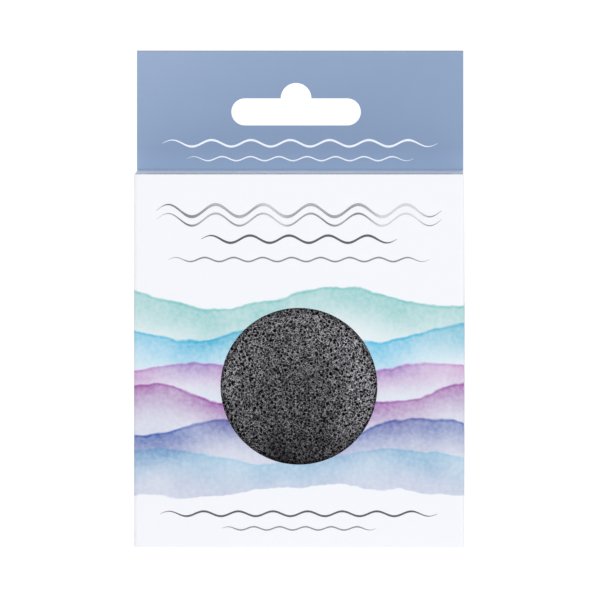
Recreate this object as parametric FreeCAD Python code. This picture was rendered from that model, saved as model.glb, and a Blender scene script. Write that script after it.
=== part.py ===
import FreeCAD, Part
import math
import os

# Half-ball konjac face sponge in its folding hang-tab carton.
# Millimetres, +Z up, the windowed front facing -Y.
# The origin is the middle of the carton's footprint, on the surface that it stands on.
# The carton is one creased sheet of boxboard. Each panel between two creases is a piece of its own.

# Sponge: a flattened half ball, its crown towards the window
SPONGE_DIAMETER = 77.4
SPONGE_THICKNESS = 35.0
SPONGE_SHOULDER = 20.0  # radius of the arc from the widest rim up to the crown
SPONGE_BACK_ROUND = 6.0  # radius of the edge round the flat back

# Boxboard, its folds and its glue
BOARD = 0.5  # caliper of the sheet
GLUE = 0.1  # film under a glued ply
GLUE_MARGIN = 2.0  # the film stops this far short of an edge
CREASE_INSIDE = 0.3  # inside radius of a folded crease
SCORE_SLIT = 0.1  # slit along a crease that works as a hinge
FLAP_GAP = 0.2  # between two boards that lie on each other

# Room round the sponge, which sets the carton's inside
SIDE_ROOM = 1.3  # between the sponge's rim and each side wall
HEAD_ROOM = 13.0  # from the top of the sponge to the lid
REST_GAP = 0.3  # between the sponge and what it rests on or leans against
PRESS_TRAVEL = 3.2  # how far a finger can push the sponge back through the window
PRESS_STOP_GAP = 0.35  # left behind the sponge at the end of that travel

# Front
WINDOW_DIAMETER = 38.5
FRONT_DROP = 0.2  # the front's cut edge lies this far under the lid's face

# Hang tab: the back wall carried up and folded over into two glued plies
HANG_TAB_HEIGHT = 29.6  # above the lid's face
HANG_TAB_INSET = 0.2  # each side of the tab is this far inside the carton's width
SLOT_LENGTH = 32.0
SLOT_HEIGHT = 6.7
SLOT_HUMP_RADIUS = 3.8  # round notch over the slot, for a single peg
SLOT_RISE = 11.1  # from the lid's face to the slot's lower edge
SLOT_OFFSET = -1.0  # the slot sits a little left of the middle

# Lids: the top one hangs on the tab's front ply, the bottom one on the back wall
LID_INSET = 0.3  # each end of a lid is this far inside the carton's width
TUCK_DEPTH = 12.0
TUCK_INSET = 2.2  # each end of a tuck flap is this far inside the lid's end
TUCK_CORNER = 7.0
TUCK_LEAN = 3.0  # degrees that a tuck flap leans in from the front wall

# Dust flaps: tapered so that they can lift while the lid is still on its way
DUST_LENGTH = 26.0
DUST_HINGE_RELIEF = 1.4  # from the lid's crease
DUST_FRONT_RELIEF = 2.8  # from the front wall
DUST_HINGE_TAPER = 27.0  # degrees
DUST_FRONT_TAPER = 8.0  # degrees
DUST_CORNER = 3.0

# Seam flap: carries the glue that closes the sleeve, inside the back wall
SEAM_WIDTH = 12.0
SEAM_TAPER = 15.0  # degrees
SEAM_RELIEF = 1.5  # from the creases of the dust flaps

# The sponge's dome is two tangent arcs: a shoulder, then a flatter crown
sponge_radius = SPONGE_DIAMETER / 2
window_radius = WINDOW_DIAMETER / 2
dome_height = SPONGE_THICKNESS - SPONGE_BACK_ROUND
shoulder_centre = sponge_radius - SPONGE_SHOULDER
shoulder_rise = dome_height - SPONGE_SHOULDER
crown_sink = (shoulder_centre**2 - shoulder_rise**2) / (2 * shoulder_rise)
crown_radius = dome_height + crown_sink
window_drop = crown_radius - math.sqrt(crown_radius**2 - window_radius**2)

# Carton, outside
crease_outside = CREASE_INSIDE + BOARD
half_width = sponge_radius + SIDE_ROOM + BOARD
sponge_depth_inside = REST_GAP + SPONGE_THICKNESS - window_drop
seam_thickness = BOARD + GLUE
carton_depth = BOARD + sponge_depth_inside + PRESS_TRAVEL + PRESS_STOP_GAP + seam_thickness + BOARD
front = -carton_depth / 2
back = carton_depth / 2
lid_level = BOARD + REST_GAP + SPONGE_DIAMETER + HEAD_ROOM + BOARD

# Sponge in the carton
sponge_axis_height = BOARD + REST_GAP + sponge_radius
sponge_crown = front + BOARD + REST_GAP - window_drop
sponge_back = sponge_crown + SPONGE_THICKNESS
sponge_rim = sponge_back - SPONGE_BACK_ROUND

# Levels and depths that neighbouring pieces share
dust_level = lid_level - BOARD - FLAP_GAP
side_top = dust_level - crease_outside
side_foot = BOARD + FLAP_GAP + crease_outside
seam_face = back - BOARD - GLUE
ply_face = seam_face - BOARD
fold_radius = (back - ply_face) / 2
tab_top = lid_level + HANG_TAB_HEIGHT
tab_half = half_width - HANG_TAB_INSET
lid_half = half_width - LID_INSET
tuck_half = lid_half - TUCK_INSET
lid_nose = front + BOARD + FLAP_GAP
top_hinge = ply_face - CREASE_INSIDE
bottom_hinge = back - crease_outside
dust_crease = half_width - crease_outside


def point(axis, along, p, q):
    """A point whose two section coordinates, p and q, lie square to the axis."""
    places = {"x": (along, p, q), "y": (p, along, q), "z": (p, q, along)}
    return FreeCAD.Vector(*places[axis])


def block(x, y, z):
    """A board or film between two limits on each axis."""
    size = [high - low for low, high in (x, y, z)]
    return Part.makeBox(*size, FreeCAD.Vector(x[0], y[0], z[0]))


def swept(edges, axis, span):
    """A closed section, extruded along the axis over the span."""
    travel = point(axis, span[1] - span[0], 0, 0)
    return Part.Face(Part.Wire(edges)).extrude(travel)


def fused(*solids):
    """One solid from pieces that share faces."""
    return solids[0].multiFuse(list(solids[1:])).removeSplitter()


def fold(axis, span, centre, start, end, inside=CREASE_INSIDE, outside=crease_outside):
    """Board bent round a centre, from one angle of the section to another, in degrees."""

    def at(radius, degrees):
        turn = math.radians(degrees)
        p = centre[0] + radius * math.cos(turn)
        q = centre[1] + radius * math.sin(turn)
        return point(axis, span[0], p, q)

    middle = (start + end) / 2
    outer = Part.Arc(at(outside, start), at(outside, middle), at(outside, end)).toShape()
    if inside > 0:
        inner = Part.Arc(at(inside, end), at(inside, middle), at(inside, start)).toShape()
        closing = [Part.makeLine(at(outside, end), at(inside, end)), inner,
                   Part.makeLine(at(inside, start), at(outside, start))]
    else:
        closing = [Part.makeLine(at(outside, end), at(outside, start))]
    return swept([outer, *closing], axis, span)


def rounded_plate(axis, span, corners):
    """A flat plate from corners given as (p, q, radius), in order round its outline."""
    places = [point(axis, span[0], p, q) for p, q, _ in corners]
    starts, ends, arcs = [], [], []
    for i, (_, _, radius) in enumerate(corners):
        before = (places[i - 1] - places[i]).normalize()
        after = (places[(i + 1) % len(places)] - places[i]).normalize()
        half_angle = before.getAngle(after) / 2
        cut = radius / math.tan(half_angle)
        starts.append(places[i] + before * cut)
        ends.append(places[i] + after * cut)
        if radius > 0:
            bisector = (before + after).normalize()
            middle = places[i] + bisector * (radius / math.sin(half_angle) - radius)
            arcs.append(Part.Arc(starts[i], middle, ends[i]).toShape())
    runs = [Part.makeLine(ends[i - 1], starts[i]) for i in range(len(corners))]
    return swept(Part.__sortEdges__(runs + arcs), axis, span)


def mirrored(shape, axis):
    """The same piece on the other side of the axis's zero plane."""
    return shape.mirror(FreeCAD.Vector(0, 0, 0), point(axis, 1, 0, 0))


def hang_slot(margin=0.0):
    """The peg slot with its round hump, as a cutter through both plies, grown by a margin."""
    end_radius = SLOT_HEIGHT / 2 + margin
    middle = lid_level + SLOT_RISE + SLOT_HEIGHT / 2
    reach = SLOT_LENGTH / 2 - SLOT_HEIGHT / 2
    span = (ply_face - BOARD, back + BOARD)
    across = (SLOT_OFFSET - reach, SLOT_OFFSET + reach)
    bar = block(across, span, (middle - end_radius, middle + end_radius))
    along = FreeCAD.Vector(0, 1, 0)

    def disc(x, z, radius):
        return Part.makeCylinder(radius, span[1] - span[0], FreeCAD.Vector(x, span[0], z), along)

    hump = disc(SLOT_OFFSET, middle + SLOT_HEIGHT / 2, SLOT_HUMP_RADIUS + margin)
    ends = [disc(SLOT_OFFSET + side * reach, middle, end_radius) for side in (-1, 1)]
    return fused(bar, hump, *ends)


def konjac_sponge():
    """The half ball: crown arc, shoulder arc, back edge and flat back, turned round its axis."""

    def at(radius, y):
        return FreeCAD.Vector(radius, y, sponge_axis_height)

    crown_centre = sponge_rim + crown_sink
    meet = math.atan2(shoulder_centre, crown_sink)

    def on_crown(turn):
        return at(crown_radius * math.sin(turn), crown_centre - crown_radius * math.cos(turn))

    def on_arc(centre, y, radius, turn):
        return at(centre + radius * math.cos(turn), y + radius * math.sin(turn))

    shoulder_end = on_arc(shoulder_centre, sponge_rim, SPONGE_SHOULDER, 0)
    shoulder_middle = on_arc(shoulder_centre, sponge_rim, SPONGE_SHOULDER, (meet - math.pi / 2) / 2)
    flat_radius = sponge_radius - SPONGE_BACK_ROUND
    round_middle = on_arc(flat_radius, sponge_rim, SPONGE_BACK_ROUND, math.pi / 4)
    profile = [
        Part.Arc(at(0, sponge_crown), on_crown(meet / 2), on_crown(meet)).toShape(),
        Part.Arc(on_crown(meet), shoulder_middle, shoulder_end).toShape(),
        Part.Arc(shoulder_end, round_middle, at(flat_radius, sponge_back)).toShape(),
        Part.makeLine(at(flat_radius, sponge_back), at(0, sponge_back)),
        Part.makeLine(at(0, sponge_back), at(0, sponge_crown)),
    ]
    return Part.Face(Part.Wire(profile)).revolve(at(0, 0), FreeCAD.Vector(0, 1, 0), 360)


def front_panel():
    """The windowed front, with half of each upright crease. Its top and foot are cut edges."""
    height = (0, lid_level - FRONT_DROP)
    run = half_width - crease_outside
    across = front + crease_outside
    wall = fused(
        block((-run, run), (front, front + BOARD), height),
        fold("z", height, (run, across), -90, -45),
        fold("z", height, (-run, across), -135, -90),
    )
    span = 2 * BOARD
    start = FreeCAD.Vector(0, front - BOARD / 2, sponge_axis_height)
    return wall.cut(Part.makeCylinder(window_radius, span, start, FreeCAD.Vector(0, 1, 0)))


def side_panel(rear):
    """The right side wall up to a rear crease at the given depth, bent in at its head and foot."""
    height = (side_foot, side_top)
    run = (front + crease_outside, rear - crease_outside)
    return fused(
        block((half_width - BOARD, half_width), run, height),
        fold("z", height, (dust_crease, run[0]), -45, 0),
        fold("z", height, (dust_crease, run[1]), 0, 45),
        fold("y", run, (dust_crease, side_top), 0, 90),
        fold("y", run, (dust_crease, side_foot), -90, 0),
    )


def back_panel():
    """The back wall, which goes on up as the rear ply of the hang tab and bends in at its foot."""
    foot = back - crease_outside
    depth = (back - BOARD, back)
    wall = fused(
        block((-half_width, dust_crease), depth, (crease_outside, side_top)),
        fold("z", (side_foot, side_top), (dust_crease, foot), 45, 90),
        fold("x", (-lid_half, dust_crease), (foot, crease_outside), -90, 0),
        block((-tab_half, tab_half), depth, (side_top, tab_top - fold_radius)),
    )
    return wall.cut(hang_slot())


def seam_flap():
    """The narrow tapered flap on the left wall's rear crease, glued inside the back wall."""
    depth = (seam_face - BOARD, seam_face)
    low, high = side_foot + SEAM_RELIEF, side_top - SEAM_RELIEF
    crease = -dust_crease
    slope = SEAM_WIDTH * math.tan(math.radians(SEAM_TAPER))
    corners = [
        (crease, low, 0),
        (crease + SEAM_WIDTH, low + slope, 0),
        (crease + SEAM_WIDTH, high - slope, 0),
        (crease, high, 0),
    ]
    return fused(
        rounded_plate("y", depth, corners),
        fold("z", (low, high), (crease, seam_face - crease_outside), 90, 135),
    )


def seam_glue():
    """The film that holds the seam flap to the back wall."""
    slope = SEAM_WIDTH * math.tan(math.radians(SEAM_TAPER))
    inset = SEAM_RELIEF + slope + GLUE_MARGIN
    across = (-dust_crease + GLUE_MARGIN, -dust_crease + SEAM_WIDTH - GLUE_MARGIN)
    return block(across, (seam_face, seam_face + GLUE), (side_foot + inset, side_top - inset))


def hang_tab_front_ply():
    """The ply folded down over the tab's front: its half-round top fold and the bend to the lid."""
    across = (-tab_half, tab_half)
    shoulder = tab_top - fold_radius
    ply = fused(
        block(across, (ply_face, seam_face), (lid_level + CREASE_INSIDE, shoulder)),
        fold("x", across, (back - fold_radius, shoulder), 0, 180, 0, fold_radius),
        fold("x", (-lid_half, lid_half), (top_hinge, lid_level + CREASE_INSIDE), -90, 0),
    )
    return ply.cut(hang_slot())


def hang_tab_glue():
    """The film between the tab's two plies, clear of the slot and of every edge."""
    film = block(
        (-tab_half + GLUE_MARGIN, tab_half - GLUE_MARGIN),
        (seam_face, seam_face + GLUE),
        (lid_level + GLUE_MARGIN, tab_top - fold_radius - GLUE_MARGIN),
    )
    return film.cut(hang_slot(GLUE_MARGIN))


def lid(hinge):
    """A lid with its outer face at height 0: the panel, and its crease bent down behind the front."""
    nose = lid_nose + crease_outside
    return fused(
        block((-lid_half, lid_half), (nose, hinge - SCORE_SLIT), (-BOARD, 0)),
        fold("x", (-tuck_half, tuck_half), (nose, -crease_outside), 90, 180),
    )


def tuck_flap():
    """The round-cornered flap under the lid's nose, leaning in from the front wall."""
    head = -crease_outside - SCORE_SLIT
    foot = head - TUCK_DEPTH
    corners = [
        (-tuck_half, head, 0),
        (-tuck_half, foot, TUCK_CORNER),
        (tuck_half, foot, TUCK_CORNER),
        (tuck_half, head, 0),
    ]
    flap = rounded_plate("y", (lid_nose, lid_nose + BOARD), corners)
    flap.rotate(FreeCAD.Vector(0, lid_nose + BOARD, head), FreeCAD.Vector(1, 0, 0), TUCK_LEAN)
    return flap


def dust_flap(hinge):
    """The right dust flap with its outer face at height 0, tapered away from the lid's crease."""
    crease = dust_crease - SCORE_SLIT
    tip = crease - DUST_LENGTH
    rear = hinge - DUST_HINGE_RELIEF
    near = front + BOARD + DUST_FRONT_RELIEF
    corners = [
        (crease, near, 0),
        (crease, rear, 0),
        (tip, rear - DUST_LENGTH * math.tan(math.radians(DUST_HINGE_TAPER)), DUST_CORNER),
        (tip, near + DUST_LENGTH * math.tan(math.radians(DUST_FRONT_TAPER)), DUST_CORNER),
    ]
    return rounded_plate("z", (-BOARD, 0), corners)


def raised(shape, level):
    """The piece with its outer face lifted to a level."""
    return shape.translated(FreeCAD.Vector(0, 0, level))


def carton_end(name, hinge, place):
    """A lid, its tuck flap and two dust flaps, each put in place for one end of the carton."""
    flap = dust_flap(hinge)
    return {
        f"{name}_lid": place(lid(hinge), 0),
        f"{name}_tuck_flap": place(tuck_flap(), 0),
        f"{name}_dust_flap_right": place(flap, BOARD + FLAP_GAP),
        f"{name}_dust_flap_left": place(mirrored(flap, "x"), BOARD + FLAP_GAP),
    }


def at_top(shape, depth):
    """Puts a piece at the carton's top, its outer face at a depth under the lid's face."""
    return raised(shape, lid_level - depth)


def at_bottom(shape, depth):
    """Turns a piece over for the carton's bottom, its outer face at a depth above the ground."""
    return raised(mirrored(shape, "z"), depth)


def build():
    """Every piece by its name."""
    return {
        "konjac_sponge": konjac_sponge(),
        "front_panel": front_panel(),
        "right_side_panel": side_panel(back),
        "left_side_panel": mirrored(side_panel(seam_face), "x"),
        "back_panel": back_panel(),
        "seam_flap": seam_flap(),
        "seam_glue": seam_glue(),
        "hang_tab_front_ply": hang_tab_front_ply(),
        "hang_tab_glue": hang_tab_glue(),
        **carton_end("top", top_hinge, at_top),
        **carton_end("bottom", bottom_hinge, at_bottom),
    }


def main():
    os.makedirs("parts", exist_ok=True)
    for name, shape in build().items():
        shape.exportStep(f"parts/{name}.step")


if __name__ == "__main__":
    main()
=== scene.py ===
import math

import bpy
import numpy as np
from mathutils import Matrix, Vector, kdtree, noise
from mathutils.geometry import delaunay_2d_cdt


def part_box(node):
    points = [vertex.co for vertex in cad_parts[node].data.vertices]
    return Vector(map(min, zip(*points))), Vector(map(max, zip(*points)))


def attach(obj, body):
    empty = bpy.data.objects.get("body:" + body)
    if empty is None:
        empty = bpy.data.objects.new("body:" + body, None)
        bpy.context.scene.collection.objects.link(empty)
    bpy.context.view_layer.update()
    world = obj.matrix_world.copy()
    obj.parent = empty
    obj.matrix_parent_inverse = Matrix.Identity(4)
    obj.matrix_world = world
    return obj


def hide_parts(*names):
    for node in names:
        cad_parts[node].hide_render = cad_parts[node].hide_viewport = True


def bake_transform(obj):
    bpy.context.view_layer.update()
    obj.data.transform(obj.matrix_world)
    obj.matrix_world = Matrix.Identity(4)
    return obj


# A charcoal konjac face sponge in its folding hang-tab carton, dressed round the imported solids.
# Metres, in the solids' own frame. Every board is cut flat from its outline and then folded into place.
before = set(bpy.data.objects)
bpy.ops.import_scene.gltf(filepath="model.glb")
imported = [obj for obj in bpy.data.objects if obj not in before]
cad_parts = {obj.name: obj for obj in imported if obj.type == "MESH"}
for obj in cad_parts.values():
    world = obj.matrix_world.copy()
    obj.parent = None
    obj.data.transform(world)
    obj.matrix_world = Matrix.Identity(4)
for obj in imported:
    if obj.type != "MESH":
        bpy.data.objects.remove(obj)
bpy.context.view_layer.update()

MM = 0.001
RIGHT, REAR, UP = Vector((1, 0, 0)), Vector((0, 1, 0)), Vector((0, 0, 1))

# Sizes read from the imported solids
front_low, front_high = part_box("front_panel")
side_low, side_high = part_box("right_side_panel")
back_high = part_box("back_panel")[1]
ply_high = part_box("hang_tab_front_ply")[1]
seam_low, seam_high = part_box("seam_flap")
lid_low, lid_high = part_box("top_lid")
tuck_low, tuck_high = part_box("top_tuck_flap")
bottom_tuck_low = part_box("bottom_tuck_flap")[0]
bottom_dust_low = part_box("bottom_dust_flap_right")[0]
dust_low, dust_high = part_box("top_dust_flap_right")
sponge_low, sponge_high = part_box("konjac_sponge")

BOARD = dust_high.z - dust_low.z
HALF_WIDTH = side_high.x
CREASE = HALF_WIDTH - side_low.x  # outside radius of a folded crease
CREASE_INSIDE = CREASE - BOARD
FRONT = front_low.y
BACK = back_high.y
LID_LEVEL = lid_high.z
TAB_TOP = ply_high.z
TAB_HALF = ply_high.x
LID_HALF = lid_high.x
TUCK_HALF = tuck_high.x
SEAM_FACE = seam_high.y
PLY_FACE = SEAM_FACE - BOARD
FOLD = (BACK - PLY_FACE) / 2  # outside radius of the tab's top fold
TAB_SHOULDER = TAB_TOP - FOLD
SIDE_FOOT = side_low.z + CREASE
SIDE_TOP = side_high.z - CREASE
DUST_CREASE = HALF_WIDTH - CREASE
NOSE = lid_low.y + CREASE  # where a lid starts to bend down behind the front
TOP_HINGE = PLY_FACE - CREASE_INSIDE
BOTTOM_HINGE = BACK - CREASE
SPONGE_RADIUS = sponge_high.x
SPONGE_HEIGHT = (sponge_low.z + sponge_high.z) / 2

# Cut-outs and tapers of the blank, as the die cuts them
WINDOW_RADIUS = 19.25 * MM
SLOT_LENGTH, SLOT_HEIGHT = 32.0 * MM, 6.7 * MM
SLOT_HUMP = 3.8 * MM
SLOT_RISE = 11.1 * MM
SLOT_OFFSET = -1.0 * MM
TUCK_CORNER = 7.0 * MM
TUCK_LEAN = math.radians(3.0)
DUST_CORNER = 3.0 * MM
DUST_HINGE_TAPER = math.tan(math.radians(27.0))
DUST_FRONT_TAPER = math.tan(math.radians(8.0))
SEAM_TAPER = math.tan(math.radians(15.0))
NICK = 0.15 * MM  # cut that frees the hang tab from the crease below it

# Distances along the flat blank
HALF_CREASE = CREASE * math.pi / 4  # along half of a crease's bend
QUARTER_CREASE = CREASE * math.pi / 2  # along the whole of its quarter turn
FRONT_RUN = HALF_WIDTH - CREASE
SIDE_RUN = BACK - FRONT - 2 * CREASE
SIDE_START = FRONT_RUN + 2 * HALF_CREASE
BACK_START = SIDE_START + SIDE_RUN + 2 * HALF_CREASE
GIRTH = 2 * (2 * FRONT_RUN + SIDE_RUN + 4 * HALF_CREASE)
PLY_START = 2 * TAB_SHOULDER + math.pi * FOLD
LID_START = PLY_START - LID_LEVEL - CREASE_INSIDE + CREASE_INSIDE * math.pi / 2

# How coarsely boards are divided, and how far their middles stand out
BOARD_PITCH = 3.0 * MM
EDGE_PITCH = 0.7 * MM
BEND_CLEAR = 0.2 * BOARD_PITCH  # the grid keeps this far from a bend
RIM_CLEAR = 0.25 * EDGE_PITCH  # and this far from an outline
BEND_STEPS = 5
CORNER_STEPS = 8
LEAST_STEPS = 6  # in an arc or a ring
NEAR_END = 1e-4  # share of a side that is too close to its ends for one more point
SAME_POINT = 1e-9
SHARP = math.radians(35)
PANEL_BOW = 0.35 * MM
FLAP_BOW = 0.12 * MM
WARP_SIZE = 22.0 * MM
WARP_SHARE = 0.35
FULL_SHADE_TURN = math.pi / 6  # painted crease shade is full past this turn of a fold
FOLD_SHADE = 0.2  # share of that painted shade at the tab's top fold
HINGE_SHADE = 0.25  # and at the lids' hinge creases


def linear(hex_colour):
    """An sRGB hex colour as linear red, green, blue and alpha."""
    parts = [int(hex_colour[i:i + 2], 16) / 255 for i in (1, 3, 5)]
    return [c / 12.92 if c <= 0.04045 else ((c + 0.055) / 1.055) ** 2.4 for c in parts] + [1.0]


def add(tree, kind, inputs=None, **settings):
    """Adds a node, sets its properties, and sets or links its inputs by name or number."""
    made = tree.nodes.new(kind)
    for name, value in settings.items():
        setattr(made, name, value)
    for name, value in (inputs or {}).items():
        if isinstance(value, bpy.types.NodeSocket):
            tree.links.new(value, made.inputs[name])
        else:
            made.inputs[name].default_value = value
    return made


def new_material(name):
    """An empty node material with its tree."""
    material = bpy.data.materials.new(name)
    material.use_nodes = True
    material.node_tree.nodes.clear()
    return material, material.node_tree


def new_object(name, data):
    """An object of the scene."""
    made = bpy.data.objects.new(name, data)
    bpy.context.scene.collection.objects.link(made)
    return made


def surface(tree, inputs):
    """Ends a material in a Principled shader."""
    shader = add(tree, "ShaderNodeBsdfPrincipled", inputs)
    add(tree, "ShaderNodeOutputMaterial", {"Surface": shader.outputs["BSDF"]})


# Printed design: soft waves of wash round the whole carton, from sea green down to pale blue.
# Each wave: crest height and swing in mm, swings round the carton, phase, fade in mm, ink
WAVES = (
    (61.5, 2.6, 4, 0.6, 15.0, "#78CBC6"),
    (53.0, 2.2, 5, 2.1, 12.0, "#46C8EE"),
    (43.5, 2.0, 4, 4.4, 9.0, "#E18CCE"),
    (38.0, 2.4, 6, 1.2, 10.0, "#B040AE"),
    (30.0, 2.0, 5, 3.6, 10.0, "#3F6EC0"),
    (22.5, 1.8, 4, 5.4, 10.0, "#BAEEF8"),
)
WASH_FOOT = 13.5 * MM
WASH_FOOT_SWING = 1.4 * MM
WASH_FOOT_TURNS = 3
WASH_FOOT_PHASE = 0.9
WASH_CREEP = 1.8 * MM  # most that its edges wander to either side
BLUE_SLANT = 0.4  # how fast the painted light on the tab's blue fades across, beside how fast it does downwards
LID_FILL_REACH = 6.0 * MM  # over this stretch above the lid, painted light makes it paler against the lid's shade
SCORE_LINE = 0.6 * MM  # width of the scored line at the lid, which that painted light leaves at full blue


def coated_boxboard():
    """Clay-coated folding boxboard, offset printed and sealed with satin varnish.

    It gives the eye a cool smooth white, soft reflections that break up a little over the fibres,
    flat ink with a faint mottle, and painted shade that darkens the blue along the folds.
    """
    material, tree = new_material("clay_coated_boxboard_print")
    blank = add(tree, "ShaderNodeAttribute", attribute_name="blank").outputs["Vector"]
    place = add(tree, "ShaderNodeSeparateXYZ", {"Vector": blank}).outputs
    fold = add(tree, "ShaderNodeAttribute", attribute_name="fold").outputs["Fac"]
    # How the ink wanders, granulates and pools, and the board's fibres: sizes in mm
    wander, granules, pools, fibres = (
        add(tree, "ShaderNodeTexNoise",
            {"Vector": blank, "Scale": 1 / (size * MM), "Detail": detail}).outputs["Fac"]
        for size, detail in ((9.0, 5.0), (1.1, 4.0), (14.0, 2.0), (0.6, 3.0))
    )

    def wavy(swing, turns, phase, level):
        """The height of a line that waves round the whole carton."""
        turn = add(tree, "ShaderNodeMath", {0: place["X"], 1: 2 * math.pi * turns / GIRTH, 2: phase},
                   operation="MULTIPLY_ADD").outputs[0]
        sine = add(tree, "ShaderNodeMath", {0: turn}, operation="SINE").outputs[0]
        return add(tree, "ShaderNodeMath", {0: sine, 1: swing, 2: level},
                   operation="MULTIPLY_ADD").outputs[0]

    # Edges of the wash wander by about a millimetre, as wet ink creeps
    creep = add(tree, "ShaderNodeMath", {0: wander, 1: 2 * WASH_CREEP, 2: -WASH_CREEP},
                operation="MULTIPLY_ADD").outputs[0]
    height = add(tree, "ShaderNodeMath", {0: place["Y"], 1: creep}, operation="ADD").outputs[0]
    grain = add(tree, "ShaderNodeMapRange",
                {"Value": granules, "From Min": 0.3, "From Max": 0.7,
                 "To Min": 0.72, "To Max": 1.0}).outputs[0]
    pool = add(tree, "ShaderNodeMapRange",
               {"Value": pools, "From Min": 0.3, "From Max": 0.7,
                "To Min": 0.6, "To Max": 1.0}).outputs[0]
    mottle = add(tree, "ShaderNodeMath", {0: grain, 1: pool}, operation="MULTIPLY").outputs[0]

    foot_line = wavy(WASH_FOOT_SWING, WASH_FOOT_TURNS, WASH_FOOT_PHASE, WASH_FOOT)
    above_foot = add(tree, "ShaderNodeMath", {0: height, 1: foot_line}, operation="SUBTRACT").outputs[0]
    wet = add(tree, "ShaderNodeMapRange",
              {"Value": above_foot, "From Min": 0.0, "From Max": 0.35 * MM}).outputs[0]

    colour = add(tree, "ShaderNodeRGB").outputs[0]
    colour.default_value = linear("#DFE1E5")
    for crest, swing, turns, phase, fade, ink in WAVES:
        line = wavy(swing * MM, turns, phase, crest * MM)
        depth = add(tree, "ShaderNodeMath", {0: line, 1: height}, operation="SUBTRACT").outputs[0]
        body = add(tree, "ShaderNodeMapRange", {"Value": depth, "From Max": 0.5 * MM}).outputs[0]
        thinning = add(tree, "ShaderNodeMapRange",
                       {"Value": depth, "From Max": fade * MM, "To Min": 1.0, "To Max": 0.14},
                       interpolation_type="SMOOTHSTEP").outputs[0]
        rim = add(tree, "ShaderNodeMapRange",
                  {"Value": depth, "From Min": 0.2 * MM, "From Max": 1.1 * MM,
                   "To Min": 0.35, "To Max": 0.0}).outputs[0]
        wash = add(tree, "ShaderNodeMath", {0: thinning, 1: mottle, 2: rim},
                   operation="MULTIPLY_ADD").outputs[0]
        laid = add(tree, "ShaderNodeMath", {0: wash, 1: body},
                   operation="MULTIPLY", use_clamp=True).outputs[0]
        share = add(tree, "ShaderNodeMath", {0: laid, 1: wet},
                    operation="MULTIPLY", use_clamp=True).outputs[0]
        colour = add(tree, "ShaderNodeMix", {"Factor": share, 6: colour, 7: linear(ink)},
                     data_type="RGBA", blend_type="MULTIPLY").outputs[2]

    # The hang tab carries a cloudy blue that painted light makes paler towards its upper left corner, and
    # the lid a paler one
    slant = add(tree, "ShaderNodeMath",
                {0: place["X"], 1: -BLUE_SLANT, 2: place["Y"]}, operation="MULTIPLY_ADD").outputs[0]
    corner = TAB_SHOULDER - BLUE_SLANT * (BACK_START + FRONT_RUN + TAB_HALF)
    blue_clouds_and_painted_light = add(tree, "ShaderNodeMapRange",
               {"Value": slant, "From Min": corner, "From Max": corner + LID_START - TAB_SHOULDER,
                "To Min": -0.3, "To Max": 0.7}).outputs[0]
    blue_clouds_and_painted_light = add(tree, "ShaderNodeMath", {0: pools, 1: 0.6, 2: blue_clouds_and_painted_light},
               operation="MULTIPLY_ADD", use_clamp=True).outputs[0]
    blue = add(tree, "ShaderNodeMix", {"Factor": blue_clouds_and_painted_light, 6: linear("#8A9DBC"), 7: linear("#8196B5")},
               data_type="RGBA").outputs[2]
    # Painted light: the tab's blue turns paler just above the lid, against the shade the lid casts there
    scored = LID_START - SCORE_LINE
    painted_lid_fill = add(tree, "ShaderNodeMapRange",
                  {"Value": place["Y"], "From Min": LID_START - LID_FILL_REACH, "From Max": scored}).outputs[0]
    unscored = add(tree, "ShaderNodeMath", {0: place["Y"], 1: scored}, operation="LESS_THAN").outputs[0]
    painted_lid_fill = add(tree, "ShaderNodeMath", {0: painted_lid_fill, 1: unscored}, operation="MULTIPLY").outputs[0]
    blue = add(tree, "ShaderNodeMix", {"Factor": painted_lid_fill, 6: blue, 7: linear("#8EA4C2")},
               data_type="RGBA").outputs[2]
    on_lid = add(tree, "ShaderNodeMath", {0: place["Y"], 1: LID_START},
                 operation="GREATER_THAN").outputs[0]
    blue = add(tree, "ShaderNodeMix", {"Factor": on_lid, 6: blue, 7: linear("#B4BFD1")},
               data_type="RGBA").outputs[2]
    over_lid = add(tree, "ShaderNodeMath", {0: place["Y"], 1: LID_LEVEL},
                   operation="GREATER_THAN").outputs[0]
    solid = add(tree, "ShaderNodeMath", {0: over_lid, 1: place["Z"]}, operation="MULTIPLY").outputs[0]
    colour = add(tree, "ShaderNodeMix", {"Factor": solid, 6: colour, 7: blue}, data_type="RGBA").outputs[2]

    # Painted shade darkens the blue along a fold
    crease_shade_strength = add(tree, "ShaderNodeMapRange",
                  {"Value": fibres, "From Min": 0.35, "From Max": 0.65,
                   "To Min": 0.55, "To Max": 0.9}).outputs[0]
    blue_crease_shade = add(tree, "ShaderNodeMath", {0: crease_shade_strength, 1: solid}, operation="MULTIPLY").outputs[0]
    crease_shade = add(tree, "ShaderNodeMath", {0: blue_crease_shade, 1: fold}, operation="MULTIPLY").outputs[0]
    colour = add(tree, "ShaderNodeMix", {"Factor": crease_shade, 6: colour, 7: linear("#434853")},
                 data_type="RGBA").outputs[2]

    sheen = add(tree, "ShaderNodeMapRange", {"Value": fibres, "To Min": 0.34, "To Max": 0.46}).outputs[0]
    bump = add(tree, "ShaderNodeBump",
               {"Strength": 0.25, "Distance": 0.02 * MM, "Height": fibres}).outputs[0]
    surface(tree, {"Base Color": colour, "Roughness": sheen, "Normal": bump, "IOR": 1.5})
    return material


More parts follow.
